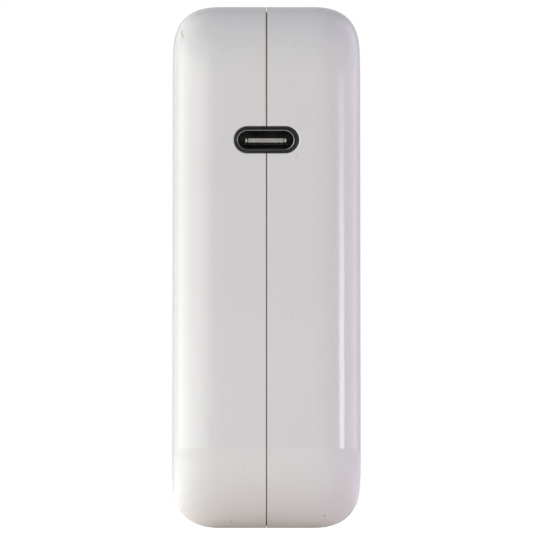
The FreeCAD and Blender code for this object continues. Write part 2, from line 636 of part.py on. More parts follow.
# ================================================================ components on the main board
def ring_core(x, y, z, outer, inner, height):
    """A ring core that stands on edge, with its axis along Y."""
    return tube("y", outer, inner, around(y, height / 2), x, z)


def ring_winding(x, y, z, outer, inner, height, turns, wire):
    """Square loops of wire round a ring core, spaced evenly over two facing thirds of it."""
    middle, reach, gap = (outer + inner) / 2, (outer - inner) / 2, 0.08
    hole = box(around(x, wire), around(y, height / 2 + gap), around(z + middle, reach + gap))
    loop = box(
        around(x, wire / 2), around(y, height / 2 + gap + wire), around(z + middle, reach + gap + wire)
    ).cut(hole)
    angles = [120 * (place - (turns - 1) / 2) / turns for place in range(turns)]
    return Part.makeCompound([
        loop.rotated(Vector(x, y, z), Vector(0, 1, 0), side + angle) for side in (0, 180) for angle in angles
    ])


def disc_part(radius, thick, y, z):
    """A dipped disc that stands on edge, with two wire legs."""
    x = FLOOR_X + 1.6 + radius
    disc = rod("y", radius, around(y, thick / 2), x, z)
    disc = disc.makeFillet(0.9, [e for e in disc.Edges if e.BoundBox.YLength < 1e-6])
    legs = [rod("x", WIRE_LEG_R, (FLOOR_X, x - radius * 0.6), y, z + s * radius / 2) for s in (-1, 1)]
    return union([disc] + legs)


def fuse(y, z, radius, top_x):
    """A small round fuse in a moulded cap."""
    body = rod("x", radius, (FLOOR_X + 0.6, top_x), y, z)
    body = body.makeFillet(0.5, [e for e in body.Edges if e.BoundBox.XMin > top_x - 1e-3])
    legs = [rod("x", WIRE_LEG_R, (FLOOR_X, FLOOR_X + 0.6), y + s * 2.5, z) for s in (-1, 1)]
    return union([body] + legs)


def block_capacitor(y, z, half_y, half_z, top_x):
    """A moulded box capacitor with soft upright edges."""
    block = box((FLOOR_X + FIT, top_x), around(y, half_y), around(z, half_z))
    return block.makeFillet(0.6, [e for e in block.Edges if e.BoundBox.XLength > 1])


FLANGE_THICK = 1.6


def drum_core(y, z, radius, barrel, top_x):
    """The filter inductor's core: two flanges on a barrel."""
    low = FLOOR_X + FIT
    flanges = [rod("x", radius, x, y, z) for x in ((low, low + FLANGE_THICK), (top_x - FLANGE_THICK, top_x))]
    return union(flanges + [rod("x", barrel, (low, top_x), y, z)])


def drum_coil(y, z, radius, barrel, top_x):
    span = (FLOOR_X + FIT + FLANGE_THICK + FIT, top_x - FLANGE_THICK - FIT)
    return tube("x", radius - 0.4, barrel + FIT, span, y, z)


def bridge_rectifier(y, z, half_y, half_z, top_x):
    """A flat four-legged bridge with one bevelled corner."""
    foot = FLOOR_X + 2.2
    block = box((foot, top_x), around(y, half_y), around(z, half_z))
    corner_y, corner_x = y + half_y - 1e-3, top_x - 1e-3
    marked = [e for e in block.Edges if e.BoundBox.YMin > corner_y and e.BoundBox.XMin > corner_x]
    block = block.makeChamfer(1.6, marked)
    legs = [box((FLOOR_X, foot), around(y + half_y * share, 0.5), around(z, 0.35))
            for share in (-0.74, -0.25, 0.25, 0.74)]
    return union([block] + legs)


YOKE = 3.0  # thickness of a ferrite core's back plates and outer legs
CORE_X = (FLOOR_X + 1.2, TOP_X)
WINDOW_X = (CORE_X[0] + YOKE + 0.1, CORE_X[1] - YOKE - 0.1)  # the room between the back plates
FORMER_THICK = 0.8


def centre_leg(half_z):
    return 0.45 * half_z


def ferrite_core(y, z, half_y, half_z):
    """An E core pair: two outer legs and a round centre leg between two back plates."""
    low, high = CORE_X
    plates = [box(x, around(y, half_y), around(z, half_z)) for x in ((low, low + YOKE), (high - YOKE, high))]
    leg_y = [sorted((y + s * half_y, y + s * (half_y - YOKE))) for s in (-1, 1)]
    legs = [box(CORE_X, span, around(z, half_z)) for span in leg_y]
    return union(plates + legs + [rod("x", centre_leg(half_z), CORE_X, y, z)])


def ferrite_former(y, z, half_y, half_z, pins):
    """The coil former: two flanges on a barrel, and ledges with pins where the core stands on them."""
    low, high = WINDOW_X
    wide = half_y - YOKE - 0.15
    bore = centre_leg(half_z) + 0.1
    lower = (low, low + FORMER_THICK)
    flanges = [box(x, around(y, wide), around(z, half_z + 1.0)) for x in (lower, (high - FORMER_THICK, high))]
    solids = flanges + [rod("x", bore + 0.7, WINDOW_X, y, z)]
    if pins:
        solids.append(box(lower, around(y, wide), around(z, half_z + 2.2)))
        for s in (-1, 1):
            ledge_z = sorted((z + s * (half_z + 0.15), z + s * (half_z + 2.2)))
            solids.append(box((FLOOR_X + 0.3, lower[1]), around(y, wide), ledge_z))
            solids += [rod("x", WIRE_LEG_R, (FLOOR_X, FLOOR_X + 0.3), y + step, z + s * (half_z + 1.2))
                       for step in (-3.2, 0, 3.2)]
    return union(solids).cut(rod("x", bore, CORE_X, y, z))


def ferrite_winding(y, z, half_y, half_z):
    """The coil on the barrel, between the former's flanges."""
    span = (WINDOW_X[0] + FORMER_THICK + FIT, WINDOW_X[1] - FORMER_THICK - FIT)
    outer = min(half_y - YOKE - 0.3, half_z - 0.2)
    return tube("x", outer, centre_leg(half_z) + 0.85, span, y, z)


def ferrite_tape(y, z, half_y, half_z):
    """One band of tape round the core's two halves."""
    (low, high), gap, thick = CORE_X, 0.04, 0.15
    outer = box((low - gap - thick, high + gap), around(y, half_y + gap + thick), around(z, 2.5))
    return outer.cut(box((low - gap, high + 1), around(y, half_y + gap), around(z, 3)))


BULK_X = FLOOR_X + 0.5 + BULK_R
CAN_R, CAN_WALL = BULK_R - 0.2, 0.5
CAN_MOUTH = 1.4  # depth of the can's rubber bung


def capacitor_cans():
    """Aluminium cans with a rolled groove near the rubber, a round shoulder and a scored top."""
    bottom, top = BULK_Z
    cans = []
    for y in BULK_Y:
        can = rod("z", CAN_R, BULK_Z, BULK_X, y)
        can = can.makeFillet(0.7, [e for e in can.Edges if e.BoundBox.ZMin > top - 0.01])
        groove = Part.makeTorus(CAN_R + 0.3, 0.8, Vector(BULK_X, y, bottom + 2.6), Vector(0, 0, 1))
        mouth = rod("z", CAN_R - CAN_WALL, (bottom - 1, bottom + CAN_MOUTH), BULK_X, y)
        scores = [box(around(BULK_X, half_x), around(y, half_y), (top - 0.2, top + 1))
                  for half_x, half_y in ((3.5, 0.15), (0.15, 3.5))]
        cans.append(can.cut([groove, mouth] + scores))
    return Part.makeCompound(cans)


def capacitor_sleeves():
    span = (BULK_Z[0] + 4.0, BULK_Z[1] - 0.9)
    return Part.makeCompound([tube("z", BULK_R, CAN_R + 0.02, span, BULK_X, y) for y in BULK_Y])


def capacitor_bungs():
    """The rubber bungs in the cans' mouths, each with its two wire legs."""
    bottom, bungs = BULK_Z[0], []
    for y in BULK_Y:
        bung = rod("z", CAN_R - CAN_WALL - 0.02, (bottom + 0.1, bottom + CAN_MOUTH - 0.02), BULK_X, y)
        legs = [rod("z", WIRE_LEG_R, (bottom - 2.0, bottom + 0.1), BULK_X, y + s * 2.5) for s in (-1, 1)]
        bungs.append(union([bung] + legs))
    return Part.makeCompound(bungs)


def output_capacitors():
    """Three low cans with rolled grooves."""
    cans = []
    for y in OUTPUT_CAP_Y:
        can = rod("x", OUTPUT_CAP_R, (FLOOR_X + 0.4, OUTPUT_CAP_TOP_X), y, OUTPUT_CAP_Z)
        can = can.makeFillet(0.5, [e for e in can.Edges if e.BoundBox.XMin > OUTPUT_CAP_TOP_X - 0.1])
        centre = Vector(FLOOR_X + 2.2, y, OUTPUT_CAP_Z)
        cans.append(can.cut(Part.makeTorus(OUTPUT_CAP_R + 0.2, 0.5, centre, Vector(1, 0, 0))))
    return Part.makeCompound(cans)


def optocouplers():
    x = (FLOOR_X + 0.6, FLOOR_X + 4.0)
    return Part.makeCompound([box(x, around(y, 2.3), around(OPTO_Z, 2.0)) for y in OPTO_Y])


# ================================================================ the whole part
def parts():
    """Every sub-part by name."""
    housing_left, housing_right = half_shells()
    spreader_right, spreader_left = plate_pair(SPREADER_X, SPREADER_INSET)
    film_right, film_left = plate_pair(FILM_X, FILM_INSET)
    return {
        "housing_left": housing_left,
        "housing_right": housing_right,
        "port_trim": port_trim(),
        "usb_shell": usb_shell(),
        "usb_tongue": usb_tongue(),
        "usb_contacts": usb_contacts(),
        "usb_midplate": usb_midplate(),
        "usb_insulator": usb_insulator(),
        "usb_board": usb_board(),
        "usb_board_header": usb_board_header(),
        "inlet_body": inlet_body(),
        "inlet_pins": inlet_pins(),
        "inlet_leads": inlet_leads(),
        "ground_stud": ground_stud(),
        "stud_nut": stud_nut(),
        "plug_cover": plug_cover(),
        "plug_base": plug_base(),
        "plug_sleeves": plug_sleeves(),
        "plug_contacts": plug_contacts(),
        "stud_clip": stud_clip(),
        "prong_left": prong(-1),
        "prong_right": prong(1),
        "prong_carrier": prong_carrier(),
        "main_board": main_board(),
        "control_board": control_board(),
        "heat_spreader_left": spreader_left,
        "heat_spreader_right": spreader_right,
        "insulating_film_left": film_left,
        "insulating_film_right": film_right,
        "foam_pads": foam_pads(),
        "thermal_pads": thermal_pads(),
        "primary_transistors": transistors(PRIMARY_Z),
        "rectifier_transistors": transistors(RECTIFIER_Z),
        "controller_chips": controller_chips(),
        "fuse": fuse(**FUSE),
        "varistor": disc_part(**VARISTOR),
        "inrush_thermistor": disc_part(**THERMISTOR),
        "safety_capacitor": disc_part(**SAFETY_CAPACITOR),
        "x_capacitor": block_capacitor(**X_CAPACITOR),
        "film_capacitor": block_capacitor(**FILM_CAPACITOR),
        "line_choke_core": ring_core(**LINE_CHOKE),
        "line_choke_winding": ring_winding(**LINE_CHOKE, turns=9, wire=0.8),
        "output_choke_core": ring_core(**OUTPUT_CHOKE),
        "output_choke_winding": ring_winding(**OUTPUT_CHOKE, turns=7, wire=0.7),
        "filter_inductor": drum_core(**FILTER),
        "filter_coil": drum_coil(**FILTER),
        "bridge_rectifier": bridge_rectifier(**BRIDGE),
        "boost_core": ferrite_core(**BOOST),
        "boost_former": ferrite_former(**BOOST, pins=False),
        "boost_coil": ferrite_winding(**BOOST),
        "transformer_core": ferrite_core(**TRANSFORMER),
        "transformer_former": ferrite_former(**TRANSFORMER, pins=True),
        "transformer_winding": ferrite_winding(**TRANSFORMER),
        "transformer_tape": ferrite_tape(**TRANSFORMER),
        "capacitor_cans": capacitor_cans(),
        "capacitor_sleeves": capacitor_sleeves(),
        "capacitor_bungs": capacitor_bungs(),
        "optocouplers": optocouplers(),
        "output_capacitors": output_capacitors(),
    }


os.makedirs("parts", exist_ok=True)
for name, shape in parts().items():
    solids = shape.Solids
    part = solids[0] if len(solids) == 1 else Part.makeCompound(solids)
    part.exportStep(f"parts/{name}.step")
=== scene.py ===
import json

import bpy
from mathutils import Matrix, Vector


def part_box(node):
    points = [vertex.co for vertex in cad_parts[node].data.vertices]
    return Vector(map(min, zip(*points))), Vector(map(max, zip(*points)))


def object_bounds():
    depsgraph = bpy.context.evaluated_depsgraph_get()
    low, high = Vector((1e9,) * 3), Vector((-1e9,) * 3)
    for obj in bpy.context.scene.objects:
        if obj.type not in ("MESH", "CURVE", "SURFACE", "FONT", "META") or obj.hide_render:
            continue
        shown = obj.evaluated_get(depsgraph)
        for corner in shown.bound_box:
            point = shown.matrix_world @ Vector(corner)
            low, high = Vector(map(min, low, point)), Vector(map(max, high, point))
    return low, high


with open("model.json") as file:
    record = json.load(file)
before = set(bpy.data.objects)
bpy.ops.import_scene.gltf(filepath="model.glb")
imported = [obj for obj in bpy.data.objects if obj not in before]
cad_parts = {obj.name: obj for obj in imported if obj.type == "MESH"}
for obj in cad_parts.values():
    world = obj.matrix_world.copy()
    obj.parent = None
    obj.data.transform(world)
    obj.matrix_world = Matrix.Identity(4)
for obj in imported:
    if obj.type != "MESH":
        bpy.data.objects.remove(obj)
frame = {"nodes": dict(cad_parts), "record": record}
cad_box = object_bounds()
nodes, record = frame["nodes"], frame["record"]

MM = 0.001
low, high = cad_box
centre = (low + high) / 2
front_y, half_x = low.y, high.x

# ---------------------------------------------------------------- camera
SENSOR = 36.0
DISTANCE = 0.600  # from the brick's front side
EYE_HEIGHT = 0.004
OUTLINE_DEPTH = 0.0112  # how far behind the front side the rounded top and bottom turn away
SPAN = 1.0211  # the picture's height over the brick's


def make_camera():
    """Low and straight in front of the port's side, looking slightly up."""
    data = bpy.data.cameras.new("camera")
    camera = bpy.data.objects.new("camera", data)
    bpy.context.scene.collection.objects.link(camera)
    camera.location = (0, front_y - DISTANCE, EYE_HEIGHT)
    target = Vector((0, front_y + OUTLINE_DEPTH, centre.z))
    camera.rotation_mode = "QUATERNION"
    camera.rotation_quaternion = (target - camera.location).to_track_quat("-Z", "Y")
    data.sensor_width = SENSOR
    data.lens = SENSOR * (target - camera.location).length / (high.z * SPAN)
    data.clip_start, data.clip_end = 0.01, 100
    bpy.context.scene.camera = camera


make_camera()


# ---------------------------------------------------------------- node helpers
def rgba(value):
    """A colour of three numbers gets its alpha; anything else stays as it is."""
    return (*value, 1.0) if isinstance(value, tuple) and len(value) == 3 else value


class Tree:
    """A short way to write a material's nodes."""

    def __init__(self, owner):
        owner.use_nodes = True
        self.nodes, self.links = owner.node_tree.nodes, owner.node_tree.links

    def set(self, socket, value):
        if isinstance(value, bpy.types.NodeSocket):
            self.links.new(value, socket)
        elif value is not None:
            socket.default_value = value

    def add(self, kind, inputs=None, **settings):
        node = self.nodes.new(kind)
        for key, value in settings.items():
            setattr(node, key, value)
        for key, value in (inputs or {}).items():
            self.set(node.inputs[key], value)
        return node

    def math(self, operation, a, b=None, c=None, clamp=False):
        node = self.add("ShaderNodeMath", operation=operation, use_clamp=clamp)
        for socket, value in zip(node.inputs, (a, b, c)):
            self.set(socket, value)
        return node.outputs[0]

    def vector(self, operation, a, b):
        node = self.add("ShaderNodeVectorMath", operation=operation)
        self.set(node.inputs[0], a)
        self.set(node.inputs[1], b)
        return node.outputs[0]

    def ramp(self, value, start, end, to_start=0.0, to_end=1.0, kind="SMOOTHSTEP"):
        """value's share of the way from start to end, as a number from to_start to to_end."""
        node = self.add("ShaderNodeMapRange", interpolation_type=kind)
        ends = {"Value": value, "From Min": start, "From Max": end, "To Min": to_start, "To Max": to_end}
        for key, number in ends.items():
            self.set(node.inputs[key], number)
        return node.outputs[0]

    def mix(self, share, a, b, blend="MIX"):
        node = self.add("ShaderNodeMix", data_type="RGBA", blend_type=blend)
        colours = [s for s in node.inputs if s.type == "RGBA"]
        self.set(node.inputs["Factor"], share)
        self.set(colours[0], rgba(a))
        self.set(colours[1], rgba(b))
        return [s for s in node.outputs if s.type == "RGBA"][0]

    def shade(self, colour, amount):
        """The colour made darker or lighter by a number that varies over the surface."""
        grey = self.add("ShaderNodeCombineColor", {"Red": amount, "Green": amount, "Blue": amount})
        return self.mix(1.0, colour, grey.outputs[0], "MULTIPLY")

    def noise(self, vector, scale, detail=3.0, roughness=0.5):
        inputs = {"Vector": vector, "Scale": scale, "Detail": detail, "Roughness": roughness}
        return self.add("ShaderNodeTexNoise", inputs).outputs["Fac"]

    def cells(self, vector, scale, feature="F1"):
        node = self.add("ShaderNodeTexVoronoi", {"Vector": vector, "Scale": scale}, feature=feature)
        return node.outputs["Distance"]

    def place(self):
        """The point's place in the part's own frame, in metres, which moves with the part."""
        return self.add("ShaderNodeTexCoord").outputs["Object"]

    def split(self, vector):
        return self.add("ShaderNodeSeparateXYZ", {"Vector": vector}).outputs

    def join(self, x, y, z):
        return self.add("ShaderNodeCombineXYZ", {"X": x, "Y": y, "Z": z}).outputs[0]

    def scaled(self, vector, scale):
        return self.add("ShaderNodeMapping", {"Vector": vector, "Scale": scale}).outputs[0]

    def bump(self, height, distance):
        node = self.add("ShaderNodeBump", {"Height": height, "Distance": distance, "Strength": 1.0})
        return node.outputs[0]


def material(name, build, **uniform):
    """A material whose uniform values sit on the shader and whose patterns come from build."""
    made = bpy.data.materials.new(name)
    tree = Tree(made)
    shader = made.node_tree.nodes["Principled BSDF"]
    for key, value in uniform.items():
        shader.inputs[key.replace("_", " ")].default_value = rgba(value)
    for key, value in build(tree).items():
        tree.set(shader.inputs[key], rgba(value))
    return made


# ---------------------------------------------------------------- the white case
SEAM_HALF = 0.065 * MM  # just past the seam's walls
STAIN_HALF = 0.40 * MM
WHITE = (0.80, 0.79, 0.79)
SEAM_DIRT, SEAM_PALE = (0.05, 0.025, 0.015), (0.36, 0.24, 0.17)  # high up, and lower down
STAIN = (0.70, 0.60, 0.48)
SPECK = (0.42, 0.40, 0.37)
NICK = (0.40, 0.39, 0.27)
SPECKS = (  # x and z in mm, radius in mm, strength
    (4.30, 72.9, 0.13, 0.35),
    (2.93, 69.4, 0.10, 0.35),
    (9.68, 65.0, 0.12, 0.30),
    (4.51, 55.9, 0.14, 0.45),
    (5.30, 49.4, 0.13, 0.60),
    (-4.93, 50.1, 0.11, 0.35),
    (-4.64, 48.2, 0.10, 0.30),
    (-4.10, 43.6, 0.10, 0.30),
    (-2.46, 37.9, 0.11, 0.30),
    (7.79, 37.8, 0.11, 0.30),
    (6.72, 46.2, 0.09, 0.30),
    (-3.33, 9.2, 0.20, 0.20),
    (-5.30, 1.0, 0.14, 0.70),
    (8.78, 1.9, 0.22, 0.45),
    (-13.05, 74.1, 0.13, 0.55),
)
SPECK_EDGE = (0.4, 1.3)  # in radii: how far from its middle a speck is full, and gone
NICK_TOP, NICK_END = (-13.02, 75.9), (-12.70, 74.4)  # x and z in mm
NICK_EDGE = (0.05 * MM, 0.22 * MM)  # how far off its line the nick is full, and gone
NICK_STRENGTH = 0.70
FRONT_FADE = (9 * MM, 12 * MM)  # how far behind the front side the specks and the nick fade out
SEAM_SOFT = 0.03 * MM
STAIN_HIGH = (60 * MM, 66 * MM)  # the heights between which the stain grows stronger
DIRT_HIGH = (20 * MM, 70 * MM)  # the heights between which the seam's pale dirt turns dark
GLOSS_RELIEF = 0.0006 * MM


def speck_share(t, x, z, front):
    """How much of a speck covers the point, on the port's side only."""
    share = 0.0
    for speck_x, speck_z, radius, strength in SPECKS:
        across = t.math("SUBTRACT", x, speck_x * MM)
        along = t.math("SUBTRACT", z, speck_z * MM)
        away = t.math("SQRT", t.math("MULTIPLY_ADD", across, across, t.math("MULTIPLY", along, along)))
        full, gone = radius * SPECK_EDGE[0] * MM, radius * SPECK_EDGE[1] * MM
        share = t.math("MAXIMUM", share, t.ramp(away, full, gone, strength, 0.0))
    return t.math("MULTIPLY", share, front)


def nick_share(t, x, z, front):
    """A short thin slanting mark, high on the left edge. The dot near its foot is one of the specks."""
    length = NICK_TOP[1] - NICK_END[1]
    slope = (NICK_END[0] - NICK_TOP[0]) / length
    down = t.math("SUBTRACT", NICK_TOP[1] * MM, z)
    line = t.math("MULTIPLY_ADD", down, slope, NICK_TOP[0] * MM)
    away = t.math("ABSOLUTE", t.math("SUBTRACT", x, line))
    thin = t.ramp(away, *NICK_EDGE, NICK_STRENGTH, 0.0)
    upper = t.ramp(down, -0.1 * MM, 0.25 * MM)
    lower = t.ramp(down, (length - 0.2) * MM, (length + 0.15) * MM, 1.0, 0.0)
    return t.math("MULTIPLY", t.math("MULTIPLY", thin, front), t.math("MULTIPLY", upper, lower))


def white_case(t, seam):
    """Glossy white plastic. Only the half shells have the seam, the specks and the nick."""
    p = t.place()
    xyz = t.split(p)
    x, y, z = xyz["X"], xyz["Y"], xyz["Z"]
    side = t.math("ABSOLUTE", x)
    front = t.ramp(y, front_y + FRONT_FADE[0], front_y + FRONT_FADE[1], 1.0, 0.0)
    cloud = t.noise(p, 60.0, 2.0)
    grain = t.noise(p, 2600.0, 2.0)
    smear = t.noise(t.scaled(p, (1.0, 1.0, 0.35)), 210.0, 4.0, 0.6)
    along = t.noise(t.scaled(p, (0.0, 1.0, 1.0)), 420.0, 3.0, 0.6)
    dirt, stain, nick = 0.0, 0.0, 0.0
    if seam:  # its dirt, darker high up, and the warm stain beside it
        dirt = t.ramp(side, SEAM_HALF, SEAM_HALF + SEAM_SOFT, 1.0, 0.0)
        high_up = t.ramp(z, *STAIN_HIGH)
        spread = t.math("MULTIPLY_ADD", high_up, 0.55, t.ramp(along, 0.35, 0.65, 0.05, 0.25))
        stain = t.math("MULTIPLY", t.ramp(side, SEAM_HALF, STAIN_HALF, 1.0, 0.0), spread)
        nick = nick_share(t, x, z, front)
    # faint dark dust everywhere, and the half shells' own specks on the port's side
    cell = t.cells(p, 330.0)
    chosen = t.ramp(t.noise(p, 130.0, 0.0), 0.60, 0.66)
    dust = t.math("MULTIPLY", t.ramp(cell, 0.03, 0.06, 0.30, 0.0), chosen)
    colour = t.shade(WHITE, t.ramp(cloud, 0.3, 0.7, 0.985, 1.01, "LINEAR"))
    if seam:
        specks = t.math("MAXIMUM", speck_share(t, x, z, front), dust)
        colour = t.mix(specks, t.mix(stain, colour, STAIN), SPECK)
        colour = t.mix(nick, colour, NICK)
        colour = t.mix(dirt, colour, t.mix(t.ramp(z, *DIRT_HIGH), SEAM_PALE, SEAM_DIRT))
    else:
        colour = t.mix(dust, colour, SPECK)
    # handling haze and hairline scratches in the gloss
    scratch = t.noise(t.scaled(p, (1.0, 1.0, 0.02)), 3000.0, 1.0)
    hairline = t.ramp(scratch, 0.70, 0.74)
    rough = t.ramp(smear, 0.35, 0.75, 0.055, 0.13)
    rough = t.math("MULTIPLY_ADD", hairline, 0.05, rough)
    rough = t.math("MAXIMUM", rough, t.math("MULTIPLY", t.math("MAXIMUM", dirt, stain), 0.6))
    height = t.math("MULTIPLY_ADD", nick, -6.0, t.math("MULTIPLY_ADD", hairline, -0.15, grain))
    return {"Base Color": colour, "Roughness": rough, "Normal": t.bump(height, GLOSS_RELIEF)}


def white_gloss(t):
    """The half shells' finish."""
    return white_case(t, True)


def plug_white(t):
    """The plug cover's finish."""
    return white_case(t, False)


# ---------------------------------------------------------------- the other finishes
DUST = (0.46, 0.44, 0.41)
SOLDER = (0.55, 0.55, 0.54)
RUB_GLINT_EDGE = (0.1 * MM, 0.3 * MM)  # how far past the rails the rubbed steel and its painted highlight are full, and gone
STRIPE_OUT = 6.8 * MM  # how far along Y each stripe is from the middle of the two sleeves
STRIPE_EDGE = (1.2 * MM, 1.4 * MM)  # how far off its middle the stripe is full, and gone


def levels(t, value, low_shade, high_shade):
    """A noise value turned into an amount of shading."""
    return t.ramp(value, 0.30, 0.70, low_shade, high_shade, "LINEAR")


def repeat(t, value, pitch):
    """0 at each multiple of the pitch, and 1 halfway between two of them."""
    return t.math("MULTIPLY", t.math("PINGPONG", value, pitch / 2), 2 / pitch)


def moulded(colour, rough, relief=0.002, dust=0.20):
    """Moulded plastic: an even fine grain, faint flow clouds, and a little pale dust."""
    def build(t):
        p = t.place()
        flow = t.noise(t.scaled(p, (1.0, 1.0, 0.3)), 500.0, 4.0, 0.6)
        grain = t.noise(p, 6000.0, 2.0)
        rubbed = t.ramp(t.noise(p, 260.0, 3.0, 0.6), 0.45, 0.70)
        settled = t.ramp(t.noise(p, 1300.0, 4.0, 0.75), 0.58, 0.82, 0.0, dust)
        base = t.mix(settled, t.shade(colour, levels(t, flow, 0.88, 1.10)), DUST)
        roughness = t.ramp(flow, 0.3, 0.7, rough * 0.85, rough * 1.15)
        roughness = t.math("MULTIPLY_ADD", rubbed, -0.25 * rough, roughness)
        roughness = t.math("MULTIPLY_ADD", settled, 0.5, roughness)
        return {"Base Color": base, "Roughness": roughness, "Normal": t.bump(grain, relief * MM)}
    return build


def metal(colour, tarnish, rough, along=(1.0, 1.0, 1.0), relief=0.0015, stained=0.5):
    """Bare metal: fine lines drawn along one way, duller tarnished clouds, and a few pits and scratches."""
    def build(t):
        p = t.place()
        lines = t.noise(t.scaled(p, along), 8000.0, 3.0, 0.7)
        cloud = t.noise(p, 330.0, 5.0, 0.65)
        dull = t.ramp(cloud, 0.42, 0.72, 0.0, stained)
        pit = t.ramp(t.cells(p, 2200.0), 0.06, 0.12, 1.0, 0.0)
        scratch = t.ramp(t.noise(t.scaled(p, (0.05, 1.0, 1.0)), 2600.0, 1.0), 0.69, 0.73)
        base = t.mix(dull, t.shade(colour, levels(t, lines, 0.86, 1.08)), tarnish)
        roughness = t.math("MULTIPLY_ADD", lines, 0.4 * rough, 0.75 * rough)
        roughness = t.math("MULTIPLY_ADD", dull, 0.30, roughness)
        roughness = t.math("MULTIPLY_ADD", scratch, 0.10, roughness)
        height = t.math("MULTIPLY_ADD", pit, -0.8, t.math("MULTIPLY_ADD", scratch, -0.5, lines))
        return {"Base Color": base, "Roughness": roughness, "Normal": t.bump(height, relief * MM)}
    return build


def socket_steel(colour, tarnish, rough, rubbed):
    """Drawn steel, rubbed pale and rough on the tongue's rails, where plugs latch; the pale rub is also a
    painted highlight standing in for the rails' glints.
    """
    def build(t):
        made = metal(colour, tarnish, rough, (1.0, 0.03, 1.0), 0.0006, 0.3)(t)
        rail_low, rail_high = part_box("usb_midplate")
        middle, reach = (rail_low + rail_high) / 2, (rail_high - rail_low) / 2
        xyz = t.split(t.place())
        across = t.math("ABSOLUTE", t.math("SUBTRACT", xyz["X"], middle.x))
        up = t.math("ABSOLUTE", t.math("SUBTRACT", xyz["Z"], middle.z))
        rail_wear_and_glint = t.math("MULTIPLY", t.ramp(across, reach.x + RUB_GLINT_EDGE[0], reach.x + RUB_GLINT_EDGE[1], 1.0, 0.0),
                      t.ramp(up, reach.z + RUB_GLINT_EDGE[0], reach.z + RUB_GLINT_EDGE[1], 1.0, 0.0))
        # painted highlight: the rails are painted pale, partly for real rubbing and partly to stand in for
        # their glints
        made["Base Color"] = t.mix(rail_wear_and_glint, made["Base Color"], rubbed)
        made["Roughness"] = t.math("MULTIPLY_ADD", rail_wear_and_glint, 0.40, made["Roughness"])
        return made
    return build


def board(mask, mask_on_copper):
    """Solder mask over copper tracks and pours, small tinned holes on a grid with painted shade in their
    bores, and a faint glass weave.
    """
    patch, track, hole_pitch, hole_out = 4.6 * MM, 0.62 * MM, 2.3 * MM, 0.42 * MM

    def build(t):
        p = t.place()
        xyz = t.split(p)
        u, v = xyz["Y"], t.math("ADD", xyz["Z"], xyz["X"])
        flat = t.join(u, v, 0.0)
        steps = t.vector("SNAP", flat, (patch, patch, patch))
        pick = t.add("ShaderNodeTexWhiteNoise", {"Vector": steps}, noise_dimensions="3D").outputs["Value"]
        tracks_u = t.ramp(repeat(t, u, track), 0.44, 0.54, 1.0, 0.0)
        tracks_v = t.ramp(repeat(t, v, track), 0.44, 0.54, 1.0, 0.0)
        pour = t.math("GREATER_THAN", pick, 0.72)
        second = t.math("GREATER_THAN", pick, 0.36)
        tracks = t.math("MULTIPLY_ADD", second, t.math("SUBTRACT", tracks_v, tracks_u), tracks_u)
        copper = t.math("MAXIMUM", pour, tracks)
        cell_u = t.math("SUBTRACT", t.math("PINGPONG", u, hole_pitch / 2), hole_pitch / 4)
        cell_v = t.math("SUBTRACT", t.math("PINGPONG", v, hole_pitch / 2), hole_pitch / 4)
        away = t.math("SQRT", t.math("MULTIPLY_ADD", cell_u, cell_u, t.math("MULTIPLY", cell_v, cell_v)))
        ring = t.ramp(away, hole_out * 0.9, hole_out, 1.0, 0.0)
        bore_shade = t.ramp(away, hole_out * 0.4, hole_out * 0.5, 1.0, 0.0)
        here = t.ramp(t.noise(p, 190.0, 1.0), 0.64, 0.66)
        ring, bore_shade = t.math("MULTIPLY", ring, here), t.math("MULTIPLY", bore_shade, here)
        weave = t.math("ADD", repeat(t, u, 0.4 * MM), repeat(t, v, 0.4 * MM))
        cloud = t.noise(p, 150.0, 4.0, 0.6)
        flux = t.ramp(t.noise(p, 700.0, 4.0, 0.7), 0.55, 0.75)
        base = t.shade(t.mix(copper, mask, mask_on_copper), levels(t, cloud, 0.85, 1.12))
        # painted shade: each hole's bore is painted near black
        base = t.mix(bore_shade, t.mix(ring, base, SOLDER), (0.01, 0.01, 0.01))
        roughness = t.math("MULTIPLY_ADD", flux, 0.22, t.ramp(cloud, 0.3, 0.7, 0.22, 0.32))
        height = t.math("ADD", t.math("MAXIMUM", copper, ring), t.math("MULTIPLY", weave, 0.08))
        height = t.math("MULTIPLY_ADD", bore_shade, -2.0, height)
        return {"Base Color": base, "Roughness": roughness, "Normal": t.bump(height, 0.03 * MM)}
    return build


def film(colour):
    """Glossy amber film: faint ripples, paler creases, and a little dust."""
    def build(t):
        p = t.place()
        crease = t.ramp(t.cells(p, 75.0, "DISTANCE_TO_EDGE"), 0.0, 0.035, 1.0, 0.0)
        ripple = t.noise(p, 130.0, 3.0)
        dust = t.ramp(t.noise(p, 1500.0, 3.0, 0.7), 0.60, 0.80, 0.0, 0.25)
        base = t.mix(dust, t.shade(colour, levels(t, ripple, 0.80, 1.15)), DUST)
        base = t.mix(t.math("MULTIPLY", crease, 0.35), base, (0.95, 0.72, 0.38))
        roughness = t.math("MULTIPLY_ADD", crease, 0.20, t.ramp(ripple, 0.3, 0.7, 0.07, 0.18))
        height = t.math("MULTIPLY_ADD", crease, 0.4, ripple)
        return {"Base Color": base, "Roughness": roughness, "Normal": t.bump(height, 0.04 * MM)}
    return build


def spongy(colour, cell_scale, depth, rough):
    """Foam or filled silicone: open cells or coarse filler, with painted shade darkening the hollows."""
    def build(t):
        p = t.place()
        pore = t.cells(p, cell_scale)
        body = t.noise(p, cell_scale * 0.35, 4.0, 0.6)
        # painted shade: the colour darkens towards the middle of each cell, where the surface dips
        shade = t.math("MULTIPLY", t.ramp(pore, 0.1, 0.7, 0.60, 1.10), levels(t, body, 0.90, 1.08))
        height = t.math("ADD", pore, t.math("MULTIPLY", body, 0.5))
        return {
            "Base Color": t.shade(colour, shade),
            "Roughness": t.ramp(body, 0.3, 0.7, rough - 0.08, rough + 0.06),
            "Normal": t.bump(height, depth * MM),
        }
    return build


